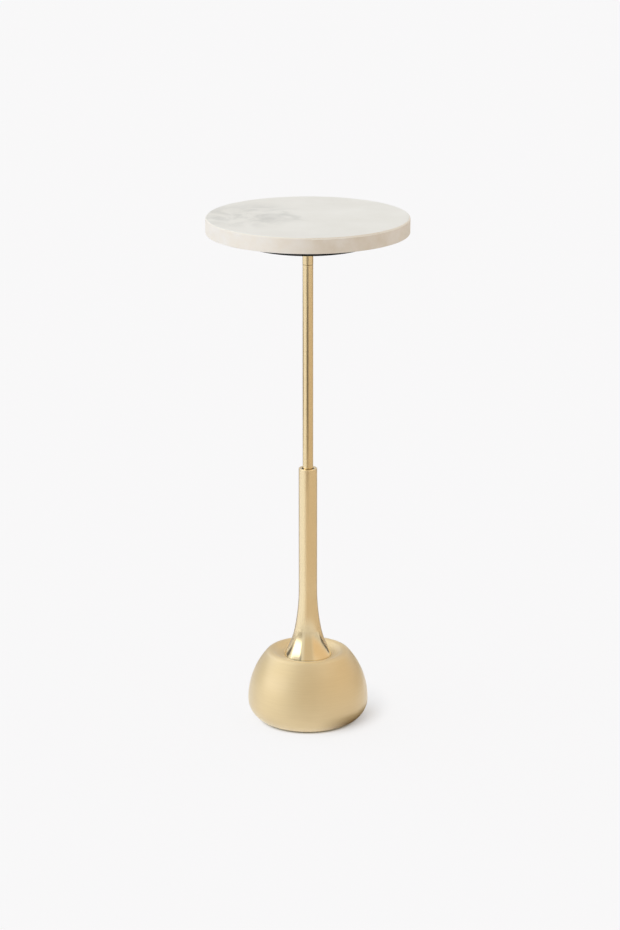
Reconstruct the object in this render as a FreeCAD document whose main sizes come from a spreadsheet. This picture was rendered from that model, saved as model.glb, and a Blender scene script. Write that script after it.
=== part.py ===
import FreeCAD, Part
import math
import os
import re
import Sketcher
from FreeCAD import Vector

# A wine table: a round marble top on a brass stem that telescopes in a trumpet-shaped column,
# which stands on a weighted dome. Lengths are in millimetres and angles in degrees. +Z is up,
# and the origin is on the floor at the middle of the base. The stem is drawn fully raised.

SIZES = {
    # Top
    "overall_height": 600,
    "marble_dia": 230,
    "marble_thick": 18,
    "marble_top_round": 2,
    "marble_low_round": 1,
    "sub_top_dia": 145,
    "sub_top_thick": 11.8,
    "sub_top_bevel": 1,
    # Flange under the top, with its countersunk wood screws
    "flange_dia": 60,
    "flange_thick": 3,
    "flange_round": 0.8,
    "flange_screw_count": 4,
    "flange_screw_circle": 44,
    "flange_screw_dia": 4,
    "flange_screw_head_dia": 8,
    "flange_screw_length": 11,
    "flange_screw_point": 3,
    "flange_screw_tip_dia": 1,
    "flange_screw_socket": 2.5,
    "flange_screw_socket_depth": 1.4,
    # Stud, its nut, and the collar above the seam
    "stud_dia": 6,
    "stud_in_post": 20,
    "stud_tail": 1,
    "stud_nut_flats": 10,
    "stud_nut_thick": 5,
    "nut_pocket_dia": 14,
    "nut_pocket_spare": 1,
    "collar_dia": 12.2,
    "collar_length": 22,
    "seam_bevel": 0.3,
    # Post, with its plugs, friction bush, washer and screw
    "post_dia": 12,
    "post_wall": 1,
    "top_plug_length": 26,
    "foot_plug_length": 18,
    "spindle_dia": 8,
    "friction_bush_length": 22,
    "friction_bush_slit": 1.5,
    "friction_bush_bevel": 0.6,
    "axial_play": 0.1,
    "foot_washer_dia": 12.6,
    "foot_washer_thick": 1.5,
    "foot_screw_dia": 4,
    "foot_screw_length": 14,
    "foot_screw_spare": 2,
    "foot_screw_head_dia": 7.5,
    "foot_screw_head_thick": 3.2,
    "foot_screw_socket": 2.5,
    "foot_screw_socket_depth": 1.6,
    # Column: a straight sleeve that flares to its foot
    "column_length": 227,
    "sleeve_dia": 21.2,
    "sleeve_bore": 14,
    "mouth_round": 0.7,
    "mouth_bevel": 0.5,
    "flare_height": 81.3,
    "flare_foot_dia": 56.4,
    "flare_neck_angle": 11.5,
    "flare_foot_angle": 32.5,
    "guide_bush_recess": 4,
    "guide_bush_length": 50,
    "guide_bush_bevel": 0.4,
    "spigot_dia": 18,
    "spigot_in_column": 35,
    "spigot_tail": 3,
    "spigot_bevel": 0.8,
    # Dome with its rolled crest and the dish that the column stands in
    "dome_dia": 140.4,
    "dome_wall": 3,
    "equator_height": 24.5,
    "foot_dia": 109,
    "foot_lift": 1.5,
    "foot_opening_dia": 103,
    "crest_height": 83.8,
    "crest_radius": 8,
    "dish_width": 13.9,
    "dish_depth": 5.1,
    "seat_margin": 0.5,
    # Ballast, clamp, base plate, pad and lower stop
    "ballast_dia": 100,
    "ballast_top_dia": 60,
    "ballast_shoulder": 13.5,
    "ballast_bevel": 2,
    "clamp_recess_dia": 44,
    "clamp_recess_depth": 21,
    "clamp_washer_dia": 36,
    "clamp_washer_thick": 2.5,
    "clamp_nut_flats": 27,
    "clamp_nut_thick": 9,
    "base_plate_dia": 102,
    "base_plate_thick": 3,
    "base_screw_count": 3,
    "base_screw_circle": 76,
    "base_screw_dia": 5,
    "base_screw_head_dia": 9,
    "base_screw_length": 16,
    "base_screw_point": 0.6,
    "base_screw_tip_dia": 3.8,
    "base_screw_socket": 3,
    "base_screw_socket_depth": 1.6,
    "base_screw_spare": 3,
    "base_pad_dia": 101,
    "base_pad_thick": 2.5,
    "base_pad_round": 0.6,
    "buffer_height": 18.6,
    "buffer_bevel": 1,
    "nut_chamfer_angle": 30,
    # Fits, and the gap that is left at either end of the stem's travel
    "stop_gap": 0.4,
    "running_clearance": 0.05,
    "thread_clearance": 0.05,
    "bolt_clearance": 0.15,
    "buffer_clearance": 0.3,
    "overrun": 1,
}

FULL_TURN = 360
HEX_SIDES = 6
LEFT, RIGHT = 1, -1

doc = FreeCAD.newDocument("wine_table")
sheet = doc.addObject("Spreadsheet::Sheet", "Sizes")
for row, (alias, value) in enumerate(SIZES.items(), start=1):
    sheet.set(f"A{row}", alias)
    sheet.set(f"B{row}", str(value))
    sheet.setAlias(f"B{row}", alias)
doc.recompute()


# Heights of the seats, worked down from the top and up from the floor
MARBLE_SEAT = "(overall_height - marble_thick)"
SUB_TOP_SEAT = f"({MARBLE_SEAT} - sub_top_thick)"
FLANGE_SEAT = f"({SUB_TOP_SEAT} - flange_thick)"
SEAM = f"({FLANGE_SEAT} - collar_length)"
STUD_SEAT = f"({SEAM} - stud_in_post)"
TOP_PLUG_SEAT = f"({SEAM} - top_plug_length)"
BASE_PLATE_SEAT = "base_pad_thick"
BALLAST_SEAT = f"({BASE_PLATE_SEAT} + base_plate_thick)"
COLUMN_SEAT = "(crest_height - dish_depth)"
MOUTH = f"({COLUMN_SEAT} + column_length)"
GUIDE_BUSH_SEAT = f"({MOUTH} - guide_bush_recess - guide_bush_length)"
CLAMP_ROOF = f"({BALLAST_SEAT} + clamp_recess_depth)"
CLAMP_WASHER_SEAT = f"({CLAMP_ROOF} - clamp_washer_thick)"
CLAMP_NUT_SEAT = f"({CLAMP_WASHER_SEAT} - clamp_nut_thick)"
SPIGOT_SEAT = f"({CLAMP_NUT_SEAT} - spigot_tail)"
# The friction bush stops just under the guide bush, and the post's end rests on it
POST_SEAT = f"({GUIDE_BUSH_SEAT} - stop_gap)"
FRICTION_BUSH_SEAT = f"({POST_SEAT} - friction_bush_length)"
SPINDLE_END = f"({FRICTION_BUSH_SEAT} - axial_play)"
FOOT_WASHER_SEAT = f"({SPINDLE_END} - foot_washer_thick)"
FOOT_SCREW_SEAT = f"({FOOT_WASHER_SEAT} - foot_screw_head_thick)"
# The stem can go down until its foot screw is just above the buffer
TRAVEL = f"({FOOT_SCREW_SEAT} - stop_gap - buffer_height - {BALLAST_SEAT})"


def bound(text):
    """The expression with each size's name pointing at its cell."""
    return re.sub(r"[a-z]\w*", lambda word: "Sizes." + word[0] if word[0] in SIZES else word[0], text)


def measure(text):
    return float(sheet.evalExpression(bound(text)))


def half(text):
    return f"({text} / 2)"


# Bodies, sketches and features

def new_body(label, seat):
    body = doc.addObject("PartDesign::Body", label)
    body.Label = label
    if seat != "0":
        body.setExpression("Placement.Base.z", bound(seat))
    return body


def origin_feature(body, role):
    return next(feature for feature in body.Origin.OriginFeatures if feature.Role == role)


def new_sketch(body, plane):
    sketch = body.newObject("Sketcher::SketchObject", body.Name + "_sketch")
    sketch.AttachmentSupport = [(origin_feature(body, plane), "")]
    sketch.MapMode = "FlatFace"
    return sketch


def pin(sketch, edge, vertex, across, up):
    """Hold one end of an edge at a place measured from the sketch's origin."""
    for kind, axis, text in (("DistanceX", -2, across), ("DistanceY", -1, up)):
        if text == "0":
            sketch.addConstraint(Sketcher.Constraint("PointOnObject", edge, vertex, axis))
            continue
        place = Sketcher.Constraint(kind, -1, 1, edge, vertex, measure(text))
        sketch.setExpression(f"Constraints[{sketch.addConstraint(place)}]", bound(text))


def arc_between(start, end, radius, side):
    """The short arc from start to end, with its centre on the given side of the way there."""
    middle = (start + end) / 2
    chord = end - start
    normal = Vector(-chord.y, chord.x, 0).normalize()
    centre = middle + normal * side * math.sqrt(radius ** 2 - (chord.Length / 2) ** 2)
    first, last = (start, end) if side == LEFT else (end, start)
    begin = math.atan2(first.y - centre.y, first.x - centre.x)
    finish = math.atan2(last.y - centre.y, last.x - centre.x)
    return Part.ArcOfCircle(Part.Circle(centre, Vector(0, 0, 1), radius), begin, finish)


def draw(sketch, corners):
    """A closed outline. A corner is (across, up), or (across, up, radius, side) when an arc leads to it."""
    points = [Vector(measure(corner[0]), measure(corner[1]), 0) for corner in corners]
    edges, starts, ends = [], [], []
    for index, corner in enumerate(corners):
        start, end = points[index - 1], points[index]
        if len(corner) == 2:
            edge = sketch.addGeometry(Part.LineSegment(start, end), False)
            turned_round = False
        else:
            radius, side = corner[2:]
            edge = sketch.addGeometry(arc_between(start, end, measure(radius), side), False)
            size = sketch.addConstraint(Sketcher.Constraint("Radius", edge, measure(radius)))
            sketch.setExpression(f"Constraints[{size}]", bound(radius))
            turned_round = side == RIGHT
        edges.append(edge)
        starts.append(2 if turned_round else 1)
        ends.append(1 if turned_round else 2)
    for index, edge in enumerate(edges):
        following = (index + 1) % len(edges)
        joint = Sketcher.Constraint("Coincident", edge, ends[index], edges[following], starts[following])
        sketch.addConstraint(joint)
        pin(sketch, edge, ends[index], corners[index][0], corners[index][1])


def turn(body, outlines, kind="PartDesign::Revolution", axis="0"):
    """Revolve outlines of (radius, height) about Z, or about an upright line at X = axis."""
    sketch = new_sketch(body, "XZ_Plane")
    reference = "V_Axis"
    if axis != "0":
        tall = f"({outlines[0][-1][1]} + overrun)"
        stroke = Part.LineSegment(Vector(measure(axis), 0, 0), Vector(measure(axis), measure(tall), 0))
        line = sketch.addGeometry(stroke, True)
        pin(sketch, line, 1, axis, "0")
        pin(sketch, line, 2, axis, tall)
        reference = "Axis0"
        outlines = [[(f"({axis} + {c[0]})",) + c[1:] for c in outline] for outline in outlines]
    for outline in outlines:
        draw(sketch, outline)
    feature = body.newObject(kind, body.Name + "_turned")
    feature.Profile = sketch
    feature.ReferenceAxis = (sketch, [reference])
    feature.Angle = FULL_TURN
    return feature


def extrude(body, outline, length, kind):
    """Pad or pocket an outline of (x, y) upwards from the body's own seat."""
    sketch = new_sketch(body, "XY_Plane")
    draw(sketch, outline)
    feature = body.newObject(kind, body.Name + "_extruded")
    feature.Profile = sketch
    feature.setExpression("Length", bound(length))
    feature.Reversed = kind == "PartDesign::Pocket"
    return feature


def repeat(body, features, count):
    """Repeat features evenly round Z."""
    pattern = body.newObject("PartDesign::PolarPattern", body.Name + "_ring")
    pattern.Originals = features
    pattern.Axis = (origin_feature(body, "Z_Axis"), [""])
    pattern.Angle = FULL_TURN
    pattern.setExpression("Occurrences", bound(count))
    body.Tip = pattern


def hexagon(flats, across="0"):
    reach = f"{flats} / sqrt(3)"
    angles = [FULL_TURN / HEX_SIDES * side for side in range(HEX_SIDES)]
    return [(f"({across} + {reach} * cos({angle}))", f"({reach} * sin({angle}))") for angle in angles]


def along(start, end, share):
    """The point a share of the way from one point to another, or past it."""
    return tuple(f"({a} + ({b} - {a}) * {share})" for a, b in zip(start, end))


# Outlines that several pieces share

def tube_outline(bore, outside, length, bevel):
    inner, outer = half(bore), half(outside)
    return [
        (inner, "0"),
        (f"({outer} - {bevel})", "0"),
        (outer, bevel),
        (outer, f"({length} - {bevel})"),
        (f"({outer} - {bevel})", length),
        (inner, length),
    ]


def rod_outline(dia, length, bevel):
    return [("0", "0")] + tube_outline("0", dia, length, bevel)[1:-1] + [("0", length)]


def washer(label, seat, bore, dia, thick):
    body = new_body(label, seat)
    inner, outer = half(bore), half(dia)
    turn(body, [[(inner, "0"), (outer, "0"), (outer, thick), (inner, thick)]])
    return body


def hex_nut(label, seat, thread, flats, thick):
    """A hex nut with its corners chamfered at both ends."""
    body = new_body(label, seat)
    extrude(body, hexagon(flats), thick, "PartDesign::Pad")
    corner = f"({flats} / sqrt(3) + overrun)"
    land = half(flats)
    chamfer = f"(({corner} - {land}) * tan(nut_chamfer_angle))"
    bore = f"({half(thread)} + thread_clearance)"
    cuts = [
        [("0", "0"), (bore, "0"), (bore, thick), ("0", thick)],
        [(land, "0"), (corner, "0"), (corner, chamfer)],
        [(land, thick), (corner, f"({thick} - {chamfer})"), (corner, thick)],
    ]
    turn(body, cuts, "PartDesign::Groove")
    return body


def countersunk_hole(body, screw, thick):
    """One ring of countersunk clearance holes through a plate, opening at its underside."""
    shank = f"({screw}_dia / 2 + bolt_clearance)"
    head = f"({screw}_head_dia / 2 + bolt_clearance)"
    cone = f"({head} - {shank})"
    outline = [("0", "0"), (head, "0"), (shank, cone), (shank, thick), ("0", thick)]
    hole = turn(body, [outline], "PartDesign::Groove", half(f"{screw}_circle"))
    repeat(body, [hole], f"{screw}_count")


def blind_holes(body, screw, depth):
    """One ring of thread holes up from a piece's underside."""
    wall = f"({screw}_dia / 2 + thread_clearance)"
    outline = [("0", "0"), (wall, "0"), (wall, depth), ("0", depth)]
    hole = turn(body, [outline], "PartDesign::Groove", half(f"{screw}_circle"))
    repeat(body, [hole], f"{screw}_count")


def screw_ring(label, seat, screw):
    """A ring of countersunk socket screws with their heads down, as separate solids."""
    body = new_body(label, seat)
    shank, head, tip = half(f"{screw}_dia"), half(f"{screw}_head_dia"), half(f"{screw}_tip_dia")
    length, circle = f"{screw}_length", half(f"{screw}_circle")
    outline = [
        ("0", "0"),
        (head, "0"),
        (shank, f"({head} - {shank})"),
        (shank, f"({length} - {screw}_point)"),
        (tip, length),
        ("0", length),
    ]
    shape = turn(body, [outline], axis=circle)
    socket = extrude(body, hexagon(f"{screw}_socket", circle), f"{screw}_socket_depth", "PartDesign::Pocket")
    repeat(body, [shape, socket], f"{screw}_count")
    return body


# Top

def marble_top():
    body = new_body("marble_top", MARBLE_SEAT)
    edge = half("marble_dia")
    turn(body, [[
        ("0", "0"),
        (f"({edge} - marble_low_round)", "0"),
        (edge, "marble_low_round", "marble_low_round", LEFT),
        (edge, "(marble_thick - marble_top_round)"),
        (f"({edge} - marble_top_round)", "marble_thick", "marble_top_round", LEFT),
        ("0", "marble_thick"),
    ]])
    return body


def sub_top():
    body = new_body("sub_top", SUB_TOP_SEAT)
    edge, pocket = half("sub_top_dia"), half("nut_pocket_dia")
    roof = "(stud_nut_thick + stud_tail + nut_pocket_spare)"
    turn(body, [[
        ("0", roof),
        (pocket, roof),
        (pocket, "0"),
        (f"({edge} - sub_top_bevel)", "0"),
        (edge, "sub_top_bevel"),
        (edge, "sub_top_thick"),
        ("0", "sub_top_thick"),
    ]])
    blind_holes(body, "flange_screw", "(flange_screw_length - flange_thick + thread_clearance)")
    return body


def mount_flange():
    body = new_body("mount_flange", FLANGE_SEAT)
    edge, bore = half("flange_dia"), "(stud_dia / 2 + bolt_clearance)"
    turn(body, [[
        (bore, "0"),
        (f"({edge} - flange_round)", "0"),
        (edge, "flange_round", "flange_round", LEFT),
        (edge, "flange_thick"),
        (bore, "flange_thick"),
    ]])
    countersunk_hole(body, "flange_screw", "flange_thick")
    return body


def flange_screws():
    return screw_ring("flange_screws", FLANGE_SEAT, "flange_screw")


def stud_nut():
    return hex_nut("stud_nut", SUB_TOP_SEAT, "stud_dia", "stud_nut_flats", "stud_nut_thick")


def collar_stud():
    body = new_body("collar_stud", STUD_SEAT)
    length = "(stud_in_post + collar_length + flange_thick + stud_nut_thick + stud_tail)"
    turn(body, [rod_outline("stud_dia", length, "seam_bevel")])
    return body


def top_collar():
    body = new_body("top_collar", SEAM)
    bore = "(stud_dia + 2 * thread_clearance)"
    turn(body, [tube_outline(bore, "collar_dia", "collar_length", "seam_bevel")])
    return body


# Stem

def post_tube():
    body = new_body("post_tube", POST_SEAT)
    turn(body, [tube_outline("(post_dia - 2 * post_wall)", "post_dia", f"({SEAM} - {POST_SEAT})", "seam_bevel")])
    return body


def post_top_plug():
    body = new_body("post_top_plug", TOP_PLUG_SEAT)
    outside = "(post_dia - 2 * post_wall - 2 * thread_clearance)"
    turn(body, [tube_outline("(stud_dia + 2 * thread_clearance)", outside, "top_plug_length", "seam_bevel")])
    return body


def post_foot_plug():
    """The plug in the post's lower end, with the spindle that the friction bush turns on."""
    body = new_body("post_foot_plug", SPINDLE_END)
    spindle, wide = half("spindle_dia"), "(post_dia / 2 - post_wall - thread_clearance)"
    step = "(friction_bush_length + axial_play)"
    crown = f"({step} + foot_plug_length)"
    bore = "(foot_screw_dia / 2 + thread_clearance)"
    depth = "(foot_screw_length - foot_washer_thick + foot_screw_spare)"
    turn(body, [[
        (bore, "0"),
        (spindle, "0"),
        (spindle, step),
        (wide, step),
        (wide, f"({crown} - seam_bevel)"),
        (f"({wide} - seam_bevel)", crown),
        ("0", crown),
        ("0", depth),
        (bore, depth),
    ]])
    return body


def friction_bush():
    """A split bush: it springs out against the column's bore and so holds the height."""
    body = new_body("friction_bush", FRICTION_BUSH_SEAT)
    bore = "(spindle_dia + 2 * running_clearance)"
    outside = "(sleeve_bore - 2 * running_clearance)"
    turn(body, [tube_outline(bore, outside, "friction_bush_length", "friction_bush_bevel")])
    past, side = f"({outside} / 2 + overrun)", half("friction_bush_slit")
    slit = [("0", f"(-{side})"), (past, f"(-{side})"), (past, side), ("0", side)]
    extrude(body, slit, "friction_bush_length", "PartDesign::Pocket")
    return body


def foot_washer():
    bore = "(foot_screw_dia + 2 * bolt_clearance)"
    return washer("foot_washer", FOOT_WASHER_SEAT, bore, "foot_washer_dia", "foot_washer_thick")


def foot_screw():
    body = new_body("foot_screw", FOOT_SCREW_SEAT)
    head, shank = half("foot_screw_head_dia"), half("foot_screw_dia")
    end = "(foot_screw_head_thick + foot_screw_length)"
    turn(body, [[
        ("0", "0"),
        (f"({head} - seam_bevel)", "0"),
        (head, "seam_bevel"),
        (head, "foot_screw_head_thick"),
        (shank, "foot_screw_head_thick"),
        (shank, f"({end} - seam_bevel)"),
        (f"({shank} - seam_bevel)", end),
        ("0", end),
    ]])
    extrude(body, hexagon("foot_screw_socket"), "foot_screw_socket_depth", "PartDesign::Pocket")
    return body


# Column

def trumpet_column():
    """The sleeve: two tangent arcs widen it from the straight tube to its foot."""
    body = new_body("trumpet_column", COLUMN_SEAT)
    sleeve, bore, foot = half("sleeve_dia"), half("sleeve_bore"), half("flare_foot_dia")
    socket = "(spigot_dia / 2 + thread_clearance)"
    reach = f"({foot} - {sleeve})"
    neck_up, neck_out = "sin(flare_neck_angle)", "(1 - cos(flare_neck_angle))"
    foot_up = "(sin(flare_foot_angle) - sin(flare_neck_angle))"
    foot_out = "(cos(flare_neck_angle) - cos(flare_foot_angle))"
    scale = f"({neck_up} * {foot_out} - {foot_up} * {neck_out})"
    neck_radius = f"((flare_height * {foot_out} - {reach} * {foot_up}) / {scale})"
    foot_radius = f"(({reach} * {neck_up} - flare_height * {neck_out}) / {scale})"
    neck = (f"({sleeve} + {neck_radius} * {neck_out})", f"(flare_height - {neck_radius} * {neck_up})")
    turn(body, [[
        (socket, "0"),
        (foot, "0"),
        neck + (foot_radius, RIGHT),
        (sleeve, "flare_height", neck_radius, RIGHT),
        (sleeve, "(column_length - mouth_round)"),
        (f"({sleeve} - mouth_round)", "column_length", "mouth_round", LEFT),
        (f"({bore} + mouth_bevel)", "column_length"),
        (bore, "(column_length - mouth_bevel)"),
        (bore, "spigot_in_column"),
        (socket, "spigot_in_column"),
    ]])
    return body


def guide_bush():
    body = new_body("guide_bush", GUIDE_BUSH_SEAT)
    bore = "(post_dia + 2 * running_clearance)"
    outside = "(sleeve_bore - 2 * thread_clearance)"
    turn(body, [tube_outline(bore, outside, "guide_bush_length", "guide_bush_bevel")])
    return body


def spigot_tube():
    body = new_body("spigot_tube", SPIGOT_SEAT)
    length = f"({COLUMN_SEAT} + spigot_in_column - {SPIGOT_SEAT})"
    turn(body, [tube_outline("sleeve_bore", "spigot_dia", length, "spigot_bevel")])
    return body


# Base

def dome_shell():
    """A shell of even wall: foot curve, flank, rolled crest and dish are tangent arcs."""
    body = new_body("dome_shell", "0")
    wall, equator = "dome_wall", half("dome_dia")
    seat = "(flare_foot_dia / 2 + seat_margin)"
    foot, opening = half("foot_dia"), half("foot_opening_dia")
    hole = "(spigot_dia / 2 + bolt_clearance)"
    inset, rise = f"({equator} - {foot})", "(equator_height - foot_lift)"
    low_radius = f"(({inset} ^ 2 + {rise} ^ 2) / (2 * {inset}))"
    low_inner = f"({low_radius} - {wall})"
    crest_centre = (f"({seat} + dish_width)", "(crest_height - crest_radius)")
    run, climb = f"({equator} - {crest_centre[0]})", f"({crest_centre[1]} - equator_height)"
    flank_radius = f"(({run} ^ 2 + {climb} ^ 2 - crest_radius ^ 2) / (2 * ({run} - crest_radius)))"
    flank_inner = f"({flank_radius} - {wall})"
    flank_centre = (f"({equator} - {flank_radius})", "equator_height")
    dish_radius = "((dish_width ^ 2 + (crest_radius - dish_depth) ^ 2 - crest_radius ^ 2) / (2 * dish_depth))"
    dish_centre = (seat, f"({COLUMN_SEAT} + {dish_radius})")
    to_crest, to_dish = f"({flank_radius} - crest_radius)", f"(crest_radius + {dish_radius})"
    shoulder = along(flank_centre, crest_centre, f"{flank_radius} / {to_crest}")
    shoulder_inner = along(flank_centre, crest_centre, f"{flank_inner} / {to_crest}")
    brink = along(crest_centre, dish_centre, f"crest_radius / {to_dish}")
    brink_inner = along(crest_centre, dish_centre, f"(crest_radius - {wall}) / {to_dish}")
    underside = f"({COLUMN_SEAT} - {wall})"
    sill_in = f"({opening} - {equator} + {low_radius})"
    sill = f"(equator_height - sqrt({low_inner} ^ 2 - {sill_in} ^ 2))"
    turn(body, [[
        (opening, "foot_lift"),
        (foot, "foot_lift"),
        (equator, "equator_height", low_radius, LEFT),
        shoulder + (flank_radius, LEFT),
        brink + ("crest_radius", LEFT),
        (seat, COLUMN_SEAT, dish_radius, RIGHT),
        (hole, COLUMN_SEAT),
        (hole, underside),
        (seat, underside),
        brink_inner + (f"({dish_radius} + {wall})", LEFT),
        shoulder_inner + (f"(crest_radius - {wall})", RIGHT),
        (f"({equator} - {wall})", "equator_height", flank_inner, RIGHT),
        (opening, sill, low_inner, RIGHT),
    ]])
    return body


def ballast():
    body = new_body("ballast", BALLAST_SEAT)
    roof = f"({COLUMN_SEAT} - dome_wall - {BALLAST_SEAT})"
    edge, crown, recess = half("ballast_dia"), half("ballast_top_dia"), half("clamp_recess_dia")
    bore = "(spigot_dia / 2 + bolt_clearance)"
    turn(body, [[
        (recess, "0"),
        (f"({edge} - ballast_bevel)", "0"),
        (edge, "ballast_bevel"),
        (edge, f"({roof} - ballast_shoulder)"),
        (crown, roof),
        (bore, roof),
        (bore, "clamp_recess_depth"),
        (recess, "clamp_recess_depth"),
    ]])
    blind_holes(body, "base_screw", "(base_screw_length - base_plate_thick + base_screw_spare)")
    return body


def clamp_washer():
    bore = "(spigot_dia + 2 * bolt_clearance)"
    return washer("clamp_washer", CLAMP_WASHER_SEAT, bore, "clamp_washer_dia", "clamp_washer_thick")


def clamp_nut():
    return hex_nut("clamp_nut", CLAMP_NUT_SEAT, "spigot_dia", "clamp_nut_flats", "clamp_nut_thick")


def base_plate():
    body = new_body("base_plate", BASE_PLATE_SEAT)
    edge = half("base_plate_dia")
    turn(body, [[("0", "0"), (edge, "0"), (edge, "base_plate_thick"), ("0", "base_plate_thick")]])
    countersunk_hole(body, "base_screw", "base_plate_thick")
    return body


def base_plate_screws():
    return screw_ring("base_plate_screws", BASE_PLATE_SEAT, "base_screw")


def stop_buffer():
    """The rubber plug on the base plate that ends the stem's way down."""
    body = new_body("stop_buffer", BALLAST_SEAT)
    dia = "(sleeve_bore - 2 * buffer_clearance)"
    turn(body, [rod_outline(dia, "buffer_height", "buffer_bevel")])
    return body


def base_pad():
    body = new_body("base_pad", "0")
    edge = half("base_pad_dia")
    turn(body, [[
        ("0", "0"),
        (f"({edge} - base_pad_round)", "0"),
        (edge, "base_pad_round", "base_pad_round", LEFT),
        (edge, "base_pad_thick"),
        ("0", "base_pad_thick"),
    ]])
    return body


PIECES = (
    marble_top, sub_top, mount_flange, flange_screws, stud_nut, collar_stud, top_collar,
    post_tube, post_top_plug, post_foot_plug, friction_bush, foot_washer, foot_screw,
    trumpet_column, guide_bush, spigot_tube,
    dome_shell, ballast, clamp_washer, clamp_nut, base_plate, base_plate_screws, stop_buffer, base_pad,
)


def check(bodies):
    """Stop unless every object is sound, every cut took material away and every solid is valid."""
    for item in doc.Objects:
        if {"Invalid", "Error"} & set(item.State):
            raise RuntimeError(f"{item.Name} failed: {item.State}")
        if item.TypeId in ("PartDesign::Pocket", "PartDesign::Groove"):
            if item.Shape.Volume >= item.BaseFeature.Shape.Volume:
                raise RuntimeError(f"{item.Name} cuts nothing")
    for body in bodies:
        if body.Shape.isNull() or not body.Shape.isValid():
            raise RuntimeError(f"{body.Label} has no valid shape")


def main():
    bodies = [make() for make in PIECES]
    doc.recompute()
    check(bodies)
    os.makedirs("parts", exist_ok=True)
    for body in bodies:
        body.Shape.exportStep(f"parts/{body.Label}.step")
        box = body.Shape.optimalBoundingBox(False)
        print(f"{body.Label}: {len(body.Shape.Solids)} solid, {body.Shape.Volume:.1f} mm3,"
              f" Z {box.ZMin:.2f} to {box.ZMax:.2f}, across {box.XLength:.2f}")
    print(f"Travel of the stem: {measure(TRAVEL):.2f} mm")


main()
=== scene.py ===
import math

import bpy
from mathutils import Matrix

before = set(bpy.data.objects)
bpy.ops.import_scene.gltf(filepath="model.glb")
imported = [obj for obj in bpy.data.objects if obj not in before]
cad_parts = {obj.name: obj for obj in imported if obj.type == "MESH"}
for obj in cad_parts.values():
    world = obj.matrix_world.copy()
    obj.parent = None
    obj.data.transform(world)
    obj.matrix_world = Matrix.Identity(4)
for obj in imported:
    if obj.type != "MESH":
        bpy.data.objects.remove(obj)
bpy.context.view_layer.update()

# A wine table: a round marble top on a brass stem that telescopes in a trumpet-shaped column,
# which stands on a weighted brass dome. Metres, with +Z up and the floor at zero.
MM = 0.001

# The camera, fitted to the outlines in the photograph
IMAGE_HEIGHT = 930
FOCAL_PIXELS = 2910
SENSOR_MM = 36
CAMERA_PLACE = (0.0024, -3.205, 1.267)
CAMERA_PITCH_DOWN = 16.64

# The studio: the room's level, and panels that differ from it, where a later one covers an earlier one.
# Each panel has a level, a tint, limits of azimuth and of elevation in degrees, a soft edge, and a lean:
# the elevation gained for each degree of azimuth from 0, which is the camera's side. Left is negative.
ROOM_LEVEL = 0.8
PANELS = {
    "overhead": (1.6, "#EEF4FF", (-200, 200), (68, 120), 8, 0),
    "left_wall": (1.55, "#F3F8FF", (-200, -70), (0, 75), 10, 0),
    "right_wall": (1.0, "#FFFCF8", (25, 200), (-40, 70), 20, 0),
    "back_flag_left": (0.62, "#FFF6EA", (-220, -152), (0, 75), 14, 0),
    "back_flag_right": (0.62, "#FFF6EA", (152, 220), (0, 75), 14, 0),
    "right_screen": (0.77, "#FFE6C6", (25, 132), (2, 44), 18, 0),
    "front_flag": (0.63, "#FFF0DC", (-26, 32), (-40, 62), 13, 0),
    "horizon": (0.66, "#FFFFFF", (-200, 200), (-40, 8), 4, 0),
    "left_flag": (0.75, "#FFFAF0", (-142, -100), (-2, 20), 4, 0),
    "back_left_gap": (0.05, "#FFFFFF", (-140, -110), (5, 16), 2, 0),
    "back_right_gap": (0.01, "#FFFFFF", (103, 152), (-2, 4.5), 1, 0),
    "high_key": (1.2, "#FFFFFF", (-118, -62), (45, 66), 6, 0),
    "softbox_skirt": (0.35, "#FFF6E6", (-106, -46), (-20, 12), 3, 0.08),
    "softbox_hood": (0.2, "#FFFFFF", (-103, -38), (41, 58), 3, 0.22),
    "softbox": (2.2, "#FFFFFF", (-98, -45), (25, 44.7), 3, 0.22),
}
BACKDROP_LEVEL = 0.94

# The floor's own light, and the paper that shadows fall on: a little cool, so that light off the brass
# leaves them grey
FLOOR_REACH = 30
FLOOR_LIGHT = "#FAF9F9"
PAPER_COLOUR = "#F1F7FF"
PAPER_ROUGHNESS = 0.9
# How much of the floor's tone is its own light: in a painted shadow along the foot's right side, where
# less own light lets the real shade show, and away from it. The shade has limits of azimuth and a soft edge
# in degrees, and fades out between two distances from its place.
FLOOR_OWN_LIGHT = (0.31, 0.9)
SHADE_PLACE = (-0.026, 0.041, 0)
SHADE_SIDES = (36, 135)
SHADE_EDGE = 42
SHADE_LIMITS = (0.097, 0.13)
# Under the table's foot the floor has no light of its own, a painted dark that lets the real shade show in
# full. It comes in between two distances from the axis.
FOOT_LIMITS = (0.052, 0.06)

# Level cards, which only reflections see: height, colour, finish, limits of azimuth and a soft edge in
# degrees, and limits of distance from the table's axis and a soft edge. The front card is at a height at
# which the flare sees it edge on, and it is satin, so that it pales at a low angle.
CARD_REACH = 12
CARDS = {
    # The near card is painted shade: a dark sheet round the foot's right side, which the dome's lower rim
    # mirrors as the shaded floor there
    "near_shade_card": (0.002, "#5E4722", "matt", (32, 150), 28, (0.05, 0.093), 0.012),
    "right_card": (0.004, "#D9CBB7", "matt", (-33, 220), 30, (0.36, 2.8), 0.1),
    "front_card": (0.118, "#322C25", "satin", (-26, 13), 13, (0.72, 2.3), 0.23),
    "left_gap_card": (0.008, "#6B5A3C", "matt", (-140, -112), 6, (1.2, 2.1), 0.12),
    "right_gap_card": (0.01, "#0C0A08", "matt", (103, 152), 4, (2.6, 11.5), 0.2),
    "back_left_card": (0.012, "#8C7A5A", "matt", (-230, -142), 35, (0.3, 2.8), 0.1),
    "back_right_card": (0.014, "#8C7A5A", "matt", (152, 230), 35, (0.3, 2.8), 0.1),
}
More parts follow.
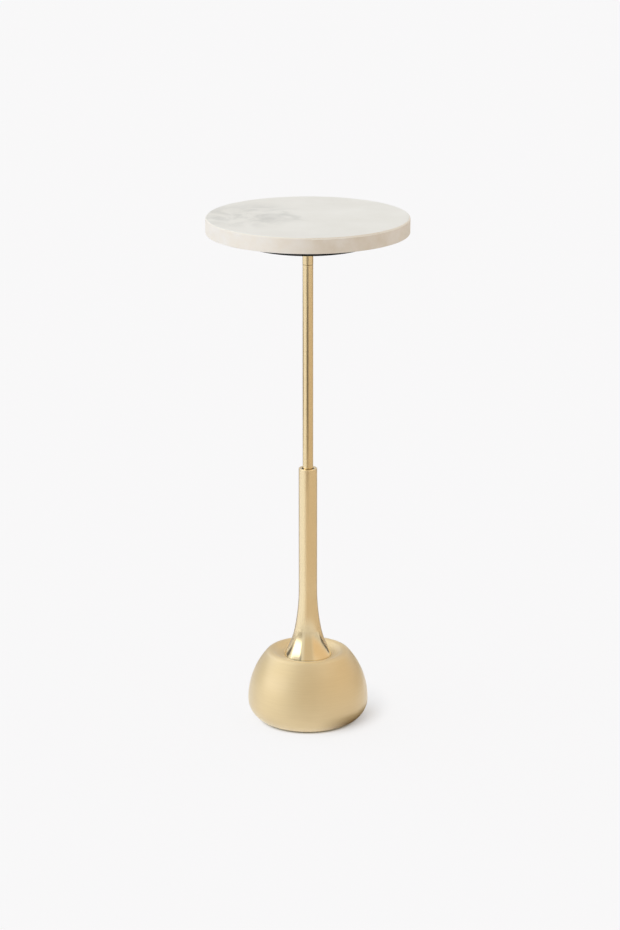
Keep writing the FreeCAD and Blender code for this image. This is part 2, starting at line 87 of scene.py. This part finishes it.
CARD_FINISHES = {
    "matt": {"Roughness": 0.9, "Specular IOR Level": 0},
    "satin": {"Roughness": 0.3, "Specular IOR Level": 0.5},
}


def linear(hex_text, level=1):
    """A linear colour from an sRGB hex value, at a level of light."""
    parts = [int(hex_text[place:place + 2], 16) / 255 for place in (1, 3, 5)]
    bent = [part / 12.92 if part <= 0.04045 else ((part + 0.055) / 1.055) ** 2.4 for part in parts]
    return (*(level * part for part in bent), 1)


def per_mm(size):
    """A pattern's scale from the real size of its features in millimetres."""
    return 1 / (size * MM)


def fill(tree, made, inputs):
    """Set a node's inputs, each to a plain value or from another node's output."""
    for name, value in inputs.items():
        if isinstance(value, bpy.types.NodeSocket):
            tree.links.new(value, made.inputs[name])
        else:
            made.inputs[name].default_value = value


def node(tree, kind, inputs, **settings):
    """Add a shader node with its settings and inputs. Gives its outputs."""
    made = tree.nodes.new("ShaderNode" + kind)
    for name, setting in settings.items():
        setattr(made, name, setting)
    fill(tree, made, inputs)
    return made.outputs


def window(tree, value, limits, edge):
    """One between two limits and nothing outside them, with soft edges."""
    low, high = limits
    rise = node(tree, "MapRange", {"Value": value, "From Min": low - edge, "From Max": low + edge},
                interpolation_type="SMOOTHSTEP")["Result"]
    fall = node(tree, "MapRange", {"Value": value, "From Min": high + edge, "From Max": high - edge},
                interpolation_type="SMOOTHSTEP")["Result"]
    return node(tree, "Math", {0: rise, 1: fall}, operation="MULTIPLY")[0]


def bearing(tree, place):
    """The azimuth of a place or a way from the Z axis, in degrees: 0 at the camera's side and negative on
    the left."""
    split = node(tree, "SeparateXYZ", {0: place})
    front = node(tree, "Math", {0: split["Y"], 1: -1}, operation="MULTIPLY")[0]
    angle = node(tree, "Math", {0: split["X"], 1: front}, operation="ARCTAN2")[0]
    return node(tree, "Math", {0: angle}, operation="DEGREES")[0]


def new_material(name):
    """A material with its node tree and its main shader."""
    material = bpy.data.materials.new(name)
    material.use_nodes = True
    return material, material.node_tree, material.node_tree.nodes["Principled BSDF"]


# Brass

# Real lathe lines are about 0.2 mm apart; they are drawn coarser so that they show
LINE_SPACING_MM = 0.9
LINE_DEPTH_MM = 0.004
# How much a line changes on its way round the piece
LINE_CHANGE = 2.5
# How far the lines take the roughness down and up, as shares of it
GLOSS_SHARES = (0.9, 1.1)
LACQUER_ROUGHNESS = 0.3
# Painted shade where a foot meets another piece, and inside a bore or seam, each with the length over which
# it fades
FOOT_PAINTED_SHADE = "#D6C294"
FOOT_FADE_MM = 1.6
BORE_PAINTED_SHADE = "#1E1810"
BORE_FADE_MM = 0.1
# Part of a full turn, which lays the spread of a reflection across the lines
QUARTER_TURN = 0.25


def brass(name, pale, deep, roughness, anisotropy, bore, foot=0):
    """Brass worked on a lathe, whose fine lines run round its axis, under a clear lacquer. Lines spread a
    reflection up and down the piece, so highlights are tall bands. It has painted shade inside a bore or a
    seam, which lie within one radius, and a brown painted shade where its foot meets another piece. Both
    are in millimetres."""
    material, tree, shader = new_material(name)
    place = node(tree, "TexCoord", {})["Object"]
    split = node(tree, "SeparateXYZ", {0: place})
    flat = node(tree, "CombineXYZ", {"X": split["X"], "Y": split["Y"]})[0]
    radius = node(tree, "VectorMath", {0: flat}, operation="LENGTH")["Value"]
    around = node(tree, "VectorMath", {0: flat}, operation="NORMALIZE")[0]
    # The lines follow height and radius closely, and change slowly on the way round
    spacing = per_mm(LINE_SPACING_MM)
    height = node(tree, "Math", {0: split["Z"], 1: spacing}, operation="MULTIPLY")[0]
    reach = node(tree, "Math", {0: radius, 1: spacing}, operation="MULTIPLY")[0]
    up = node(tree, "CombineXYZ", {"Z": height})[0]
    where = node(tree, "VectorMath", {0: around, 1: (LINE_CHANGE,) * 3, 2: up}, operation="MULTIPLY_ADD")[0]
    lines = node(tree, "TexNoise", {"Vector": where, "W": reach, "Scale": 1, "Detail": 3, "Roughness": 0.6},
                 noise_dimensions="4D")["Fac"]
    colour = node(tree, "Mix", {"Factor": lines, "A": linear(deep), "B": linear(pale)},
                  data_type="RGBA")["Result"]
    # Painted shade where the foot meets another piece, fading out above it
    above = node(tree, "MapRange", {"Value": split["Z"], "From Min": foot * MM,
                                    "From Max": (foot + FOOT_FADE_MM) * MM},
                 interpolation_type="SMOOTHSTEP")["Result"]
    colour = node(tree, "Mix", {"Factor": above, "A": linear(FOOT_PAINTED_SHADE), "B": colour},
                  data_type="RGBA")["Result"]
    # Painted shade inside the bore or the seam, within one radius
    outside = node(tree, "MapRange", {"Value": radius, "From Min": bore * MM,
                                      "From Max": (bore + BORE_FADE_MM) * MM},
                   interpolation_type="SMOOTHSTEP")["Result"]
    colour = node(tree, "Mix", {"Factor": outside, "A": linear(BORE_PAINTED_SHADE), "B": colour},
                  data_type="RGBA")["Result"]
    smoothest, roughest = (roughness * share for share in GLOSS_SHARES)
    gloss = node(tree, "MapRange", {"Value": lines, "To Min": smoothest, "To Max": roughest})["Result"]
    bump = node(tree, "Bump", {"Height": lines, "Strength": 0.1, "Distance": LINE_DEPTH_MM * MM})["Normal"]
    tangent = node(tree, "Tangent", {}, direction_type="RADIAL", axis="Z")[0]
    fill(tree, shader, {
        "Base Color": colour, "Metallic": 1, "Roughness": gloss, "Normal": bump, "Tangent": tangent,
        "Anisotropic": anisotropy, "Anisotropic Rotation": QUARTER_TURN, "Coat Weight": 1,
        "Coat Roughness": LACQUER_ROUGHNESS,
    })
    return material


def brushed_brass():
    """The dome: spun brass, brushed round with a fine wheel. Its sheen is broad and has no sharp
    reflections."""
    return brass("brushed_brass", "#F8E5BA", "#ECD5A4", roughness=0.6, anisotropy=0.6, bore=9.2)


def turned_brass():
    """The column: turned brass, polished so that the foot of its flare mirrors the softbox."""
    return brass("turned_brass", "#FBE8BD", "#F5E0B3", roughness=0.15, anisotropy=0.6, bore=7.2, foot=79)


def drawn_brass():
    """The post and its collar: drawn tube, polished. It mirrors the room in crisp upright stripes."""
    return brass("drawn_brass", "#F6E1B3", "#EFD8A8", roughness=0.13, anisotropy=0.6, bore=5.85)


# Marble

# Each pair of colours goes from the low to the high side of its pattern
FACE_WHITES = ("#E8E9E4", "#F9FBF9")
EDGE_LIT_IVORIES = ("#FAEFDC", "#FFFDFA")
EDGE_SHADED_TANS = ("#CEBB9E", "#EFE8DE")
ARRIS_PAINTED_HIGHLIGHT = "#FAF6EC"
CLOUD_GREY = "#CCCFCD"
VEIN_GREY = "#CED2CF"
MOTTLE_SIZE_MM = 55
CLOUD_SIZE_MM = 38
STAIN_SIZE_MM = 24
MARBLE_ROUGHNESS = (0.35, 0.55)
# Clouds gather round one spot on the left and are gone at a distance from it. They show where their
# pattern passes two limits.
CLOUD_SPOT = (-0.075, 0.006, 0)
CLOUD_REACH = (0.02, 0.085)
CLOUD_LIMITS = (0.38, 0.68)
CLOUD_STRENGTH = 0.8
# One faint vein runs forward from them: its middle, its turn in degrees, its ends and its sides with their
# soft edges, and how far the clouds' pattern sways it to the sides between two limits
VEIN_MIDDLE = (-0.0185, 0.005, 0)
VEIN_TURN = 56
VEIN_ENDS = (-0.025, 0.025)
VEIN_END_EDGE = 0.015
VEIN_SIDES = (-0.003, 0.003)
VEIN_SIDE_EDGE = 0.004
VEIN_SWAY = 0.008
SWAY_LIMITS = (0.3, 0.7)
VEIN_STRENGTH = 0.5
# The edge is tan, a painted shade, between these limits from left to right, with a soft edge, and ivory, its
# painted lit side, elsewhere
EDGE_SHADE_LIMITS = (-0.005, 0.12)
EDGE_SHADE_SOFTNESS = 0.055
# How far up the stone faces, from 0 on its edge to 1 on its top: on the rounded arris between them, with a
# soft edge, and where the top begins
ARRIS_LIMITS = (0.35, 0.65)
ARRIS_EDGE = 0.3
TOP_LIMITS = (0.75, 0.98)


def honed_marble():
    """White marble, sawn, honed and sealed: a soft low gloss, cool white on its top with grey clouds to one
    side and a thin vein, and warmer at its ground edge: ivory where painted lit, tan where painted shaded."""
    material, tree, shader = new_material("honed_marble")
    place = node(tree, "TexCoord", {})
    where = place["Object"]
    mottle = node(tree, "TexNoise", {"Vector": where, "Scale": per_mm(MOTTLE_SIZE_MM), "Detail": 6,
                                     "Roughness": 0.55})["Fac"]
    low, high = map(linear, FACE_WHITES)
    face = node(tree, "Mix", {"Factor": mottle, "A": low, "B": high}, data_type="RGBA")["Result"]
    # Clouds to one side
    spot = node(tree, "Mapping", {"Vector": where, "Location": [-part for part in CLOUD_SPOT],
                                  "Scale": (1, 1, 0)})[0]
    far = node(tree, "VectorMath", {0: spot}, operation="LENGTH")["Value"]
    near = node(tree, "MapRange", {"Value": far, "From Min": CLOUD_REACH[1], "From Max": CLOUD_REACH[0]},
                interpolation_type="SMOOTHSTEP")["Result"]
    cloud = node(tree, "TexNoise", {"Vector": where, "Scale": per_mm(CLOUD_SIZE_MM), "Detail": 4,
                                    "Roughness": 0.55, "Distortion": 0.9})["Fac"]
    thick = node(tree, "MapRange", {"Value": cloud, "From Min": CLOUD_LIMITS[0],
                                    "From Max": CLOUD_LIMITS[1], "To Max": CLOUD_STRENGTH},
                 interpolation_type="SMOOTHSTEP")["Result"]
    grey = node(tree, "Math", {0: near, 1: thick}, operation="MULTIPLY")[0]
    face = node(tree, "Mix", {"Factor": grey, "A": face, "B": linear(CLOUD_GREY)}, data_type="RGBA")["Result"]
    # The vein
    track = node(tree, "Mapping", {"Vector": where, "Location": [-part for part in VEIN_MIDDLE]})[0]
    turned = node(tree, "VectorRotate", {"Vector": track, "Angle": math.radians(VEIN_TURN)},
                  rotation_type="Z_AXIS")[0]
    course = node(tree, "SeparateXYZ", {0: turned})
    sway = node(tree, "MapRange", {"Value": cloud, "From Min": SWAY_LIMITS[0], "From Max": SWAY_LIMITS[1],
                                   "To Min": -VEIN_SWAY, "To Max": VEIN_SWAY})["Result"]
    aside = node(tree, "Math", {0: course["Y"], 1: sway}, operation="ADD")[0]
    length = window(tree, course["X"], VEIN_ENDS, VEIN_END_EDGE)
    width = window(tree, aside, VEIN_SIDES, VEIN_SIDE_EDGE)
    vein = node(tree, "Math", {0: length, 1: width}, operation="MULTIPLY")[0]
    faint = node(tree, "Math", {0: vein, 1: VEIN_STRENGTH}, operation="MULTIPLY")[0]
    face = node(tree, "Mix", {"Factor": faint, "A": face, "B": linear(VEIN_GREY)}, data_type="RGBA")["Result"]
    # The ground edge, ivory on the left and tan on the right: painted lit and shaded sides
    stain = node(tree, "TexNoise", {"Vector": where, "Scale": per_mm(STAIN_SIZE_MM), "Detail": 4,
                                    "Roughness": 0.6})["Fac"]
    low, high = map(linear, EDGE_LIT_IVORIES)
    ivory = node(tree, "Mix", {"Factor": stain, "A": low, "B": high}, data_type="RGBA")["Result"]
    low, high = map(linear, EDGE_SHADED_TANS)
    tan = node(tree, "Mix", {"Factor": stain, "A": low, "B": high}, data_type="RGBA")["Result"]
    across = node(tree, "SeparateXYZ", {0: where})["X"]
    right = window(tree, across, EDGE_SHADE_LIMITS, EDGE_SHADE_SOFTNESS)
    edge = node(tree, "Mix", {"Factor": right, "A": ivory, "B": tan}, data_type="RGBA")["Result"]
    # Its rounded upper arris is paler: a painted highlight
    upright = node(tree, "SeparateXYZ", {0: place["Normal"]})["Z"]
    arris = window(tree, upright, ARRIS_LIMITS, ARRIS_EDGE)
    edge = node(tree, "Mix", {"Factor": arris, "A": edge, "B": linear(ARRIS_PAINTED_HIGHLIGHT)},
                data_type="RGBA")["Result"]
    top = node(tree, "MapRange", {"Value": upright, "From Min": TOP_LIMITS[0], "From Max": TOP_LIMITS[1]},
               interpolation_type="SMOOTHSTEP")["Result"]
    colour = node(tree, "Mix", {"Factor": top, "A": edge, "B": face}, data_type="RGBA")["Result"]
    smoothest, roughest = MARBLE_ROUGHNESS
    gloss = node(tree, "MapRange", {"Value": mottle, "To Min": smoothest, "To Max": roughest})["Result"]
    fill(tree, shader, {"Base Color": colour, "Roughness": gloss})
    return material


# Board, plastic and the metals and rubber inside

def grainy(name, pale, dark, size, depth, inputs):
    """A surface whose colour and bump follow one fine grain, with its size and depth in millimetres."""
    material, tree, shader = new_material(name)
    where = node(tree, "TexCoord", {})["Object"]
    grain = node(tree, "TexNoise", {"Vector": where, "Scale": per_mm(size), "Detail": 5,
                                    "Roughness": 0.6})["Fac"]
    colour = node(tree, "Mix", {"Factor": grain, "A": linear(dark), "B": linear(pale)},
                  data_type="RGBA")["Result"]
    bump = node(tree, "Bump", {"Height": grain, "Strength": 0.4, "Distance": depth * MM})["Normal"]
    fill(tree, shader, {"Base Color": colour, "Normal": bump, **inputs})
    return material


def painted_board():
    """Board sprayed matt black: an even dark edge under the marble."""
    return grainy("painted_board", "#101011", "#070708", size=1.5, depth=0.05,
                  inputs={"Roughness": 0.6, "Specular IOR Level": 0.25})


def zinc_plated_steel():
    """Turned steel in bright zinc: a cool, slightly cloudy shine."""
    return grainy("zinc_plated_steel", "#DADDE0", "#A5AAB0", size=2, depth=0.02,
                  inputs={"Roughness": 0.32, "Metallic": 1})


def turned_acetal():
    """Black acetal off the lathe: dark with a slight gloss."""
    return grainy("turned_acetal", "#2A2A2B", "#121213", size=0.8, depth=0.02, inputs={"Roughness": 0.42})


def cast_iron():
    """Iron cast in sand: a dull grey skin with a coarse grain."""
    return grainy("cast_iron", "#706F6C", "#2A2928", size=1.6, depth=0.15,
                  inputs={"Roughness": 0.7, "Metallic": 0.6})


def moulded_rubber():
    """Black rubber from a mould: matt, with almost no highlight."""
    return grainy("moulded_rubber", "#2C2C2C", "#111111", size=1, depth=0.05, inputs={"Roughness": 0.78})


# Each node takes the finish of its slot, but for the column, which has its own
FINISHES = {
    "marble": honed_marble(),
    "painted_board": painted_board(),
    "satin_brass": brushed_brass(),
    "polished_brass": drawn_brass(),
    "zinc_steel": zinc_plated_steel(),
    "black_acetal": turned_acetal(),
    "cast_iron": cast_iron(),
    "black_rubber": moulded_rubber(),
}
OWN_FINISH = {"trumpet_column": turned_brass()}
for name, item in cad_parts.items():
    slot = item.material_slots[0]
    slot.material = OWN_FINISH.get(name) or FINISHES[slot.material.name]


# Stage

def staged_plane(name, size, middle):
    """A flat square on the stage."""
    bpy.ops.object.select_all(action="DESELECT")
    bpy.ops.mesh.primitive_plane_add(size=size, location=middle)
    plane = bpy.context.object
    plane.name = name
    return plane


def plain_floor():
    """Matt white paper. Much of its tone is its own light, as a lit table gives, so shadows on it are faint,
    but for a painted shadow beside the foot. It has no light of its own under the table's foot, a painted
    dark."""
    material, tree, shader = new_material("matt_paper")
    fill(tree, shader, {"Base Color": linear(PAPER_COLOUR), "Roughness": PAPER_ROUGHNESS,
                        "Specular IOR Level": 0})
    glow = node(tree, "Emission", {"Color": linear(FLOOR_LIGHT)})[0]
    place = node(tree, "NewGeometry", {})["Position"]
    # The painted shadow beside the foot, over the real one
    beside = window(tree, bearing(tree, place), SHADE_SIDES, SHADE_EDGE)
    aside = node(tree, "VectorMath", {0: place, 1: SHADE_PLACE}, operation="DISTANCE")["Value"]
    close = node(tree, "MapRange", {"Value": aside, "From Min": SHADE_LIMITS[1], "From Max": SHADE_LIMITS[0]},
                 interpolation_type="SMOOTHSTEP")["Result"]
    shade = node(tree, "Math", {0: beside, 1: close}, operation="MULTIPLY")[0]
    shaded, plain = FLOOR_OWN_LIGHT
    share = node(tree, "MapRange", {"Value": shade, "To Min": plain, "To Max": shaded})["Result"]
    # The painted dark under the foot, over the real shade
    far = node(tree, "VectorMath", {0: place}, operation="LENGTH")["Value"]
    clear = node(tree, "MapRange", {"Value": far, "From Min": FOOT_LIMITS[0], "From Max": FOOT_LIMITS[1]},
                 interpolation_type="SMOOTHSTEP")["Result"]
    open_share = node(tree, "Math", {0: share, 1: clear}, operation="MULTIPLY")[0]
    # The camera and reflections see the floor's own light, and it lights nothing
    path = node(tree, "LightPath", {})
    mirrored = node(tree, "Math", {0: path["Is Glossy Ray"], 1: path["Is Transmission Ray"]},
                    operation="ADD")[0]
    seen = node(tree, "Math", {0: path["Is Camera Ray"], 1: mirrored}, operation="ADD")[0]
    glowing = node(tree, "Math", {0: open_share, 1: seen}, operation="MULTIPLY")[0]
    both = node(tree, "MixShader", {0: glowing, 1: shader.outputs[0], 2: glow})[0]
    fill(tree, tree.nodes["Material Output"], {"Surface": both})
    staged_plane("floor", 2 * FLOOR_REACH, (0, 0, 0)).data.materials.append(material)


def cards():
    """Level cards with soft edges that only reflections see, for the dark stripes that the brass mirrors."""
    for name, (height, colour, finish, sides, side_edge, ends, end_edge) in CARDS.items():
        material, tree, shader = new_material(name)
        fill(tree, shader, {"Base Color": linear(colour), **CARD_FINISHES[finish]})
        place = node(tree, "NewGeometry", {})["Position"]
        wide = window(tree, bearing(tree, place), sides, side_edge)
        far = node(tree, "VectorMath", {0: place}, operation="LENGTH")["Value"]
        deep = window(tree, far, ends, end_edge)
        shown = node(tree, "Math", {0: wide, 1: deep}, operation="MULTIPLY")[0]
        nothing = node(tree, "BsdfTransparent", {})[0]
        both = node(tree, "MixShader", {0: shown, 1: nothing, 2: shader.outputs[0]})[0]
        fill(tree, tree.nodes["Material Output"], {"Surface": both})
        card = staged_plane(name, 2 * CARD_REACH, (0, 0, height))
        card.visible_camera = card.visible_diffuse = card.visible_shadow = False
        card.data.materials.append(material)


def studio_light():
    """A pale room, brightest overhead and on the left, where a softbox hangs between a dark hood and a dim
    skirt. Flags dim its front and back, and a dim band runs round the horizon. The camera sees a plain
    backdrop."""
    world = bpy.data.worlds.new("studio")
    bpy.context.scene.world = world
    world.use_nodes = True
    tree = world.node_tree
    way = node(tree, "TexCoord", {})["Generated"]
    azimuth = bearing(tree, way)
    rise = node(tree, "Math", {0: node(tree, "SeparateXYZ", {0: way})["Z"]}, operation="ARCSINE")[0]
    elevation = node(tree, "Math", {0: rise}, operation="DEGREES")[0]
    lit = linear("#FFFFFF", ROOM_LEVEL)
    for level, tint, sides, heights, edge, lean in PANELS.values():
        wide = window(tree, azimuth, sides, edge)
        drop = node(tree, "Math", {0: azimuth, 1: -lean, 2: elevation}, operation="MULTIPLY_ADD")[0]
        tall = window(tree, drop, heights, edge)
        inside = node(tree, "Math", {0: wide, 1: tall}, operation="MULTIPLY")[0]
        lit = node(tree, "Mix", {"Factor": inside, "A": lit, "B": linear(tint, level)},
                   data_type="RGBA")["Result"]
    seen = node(tree, "LightPath", {})["Is Camera Ray"]
    backdrop = linear("#FFFFFF", BACKDROP_LEVEL)
    colour = node(tree, "Mix", {"Factor": seen, "A": lit, "B": backdrop}, data_type="RGBA")["Result"]
    fill(tree, tree.nodes["Background"], {"Color": colour})


def camera():
    """The camera, level from side to side and tilted down at the table."""
    lens = bpy.data.cameras.new("camera")
    lens.sensor_width = SENSOR_MM
    lens.lens = FOCAL_PIXELS * SENSOR_MM / IMAGE_HEIGHT
    eye = bpy.data.objects.new("camera", lens)
    eye.location = CAMERA_PLACE
    eye.rotation_euler = (math.radians(90 - CAMERA_PITCH_DOWN), 0, 0)
    bpy.context.scene.collection.objects.link(eye)
    bpy.context.scene.camera = eye


plain_floor()
cards()
studio_light()
camera()
bpy.context.scene.view_settings.view_transform = "Standard"
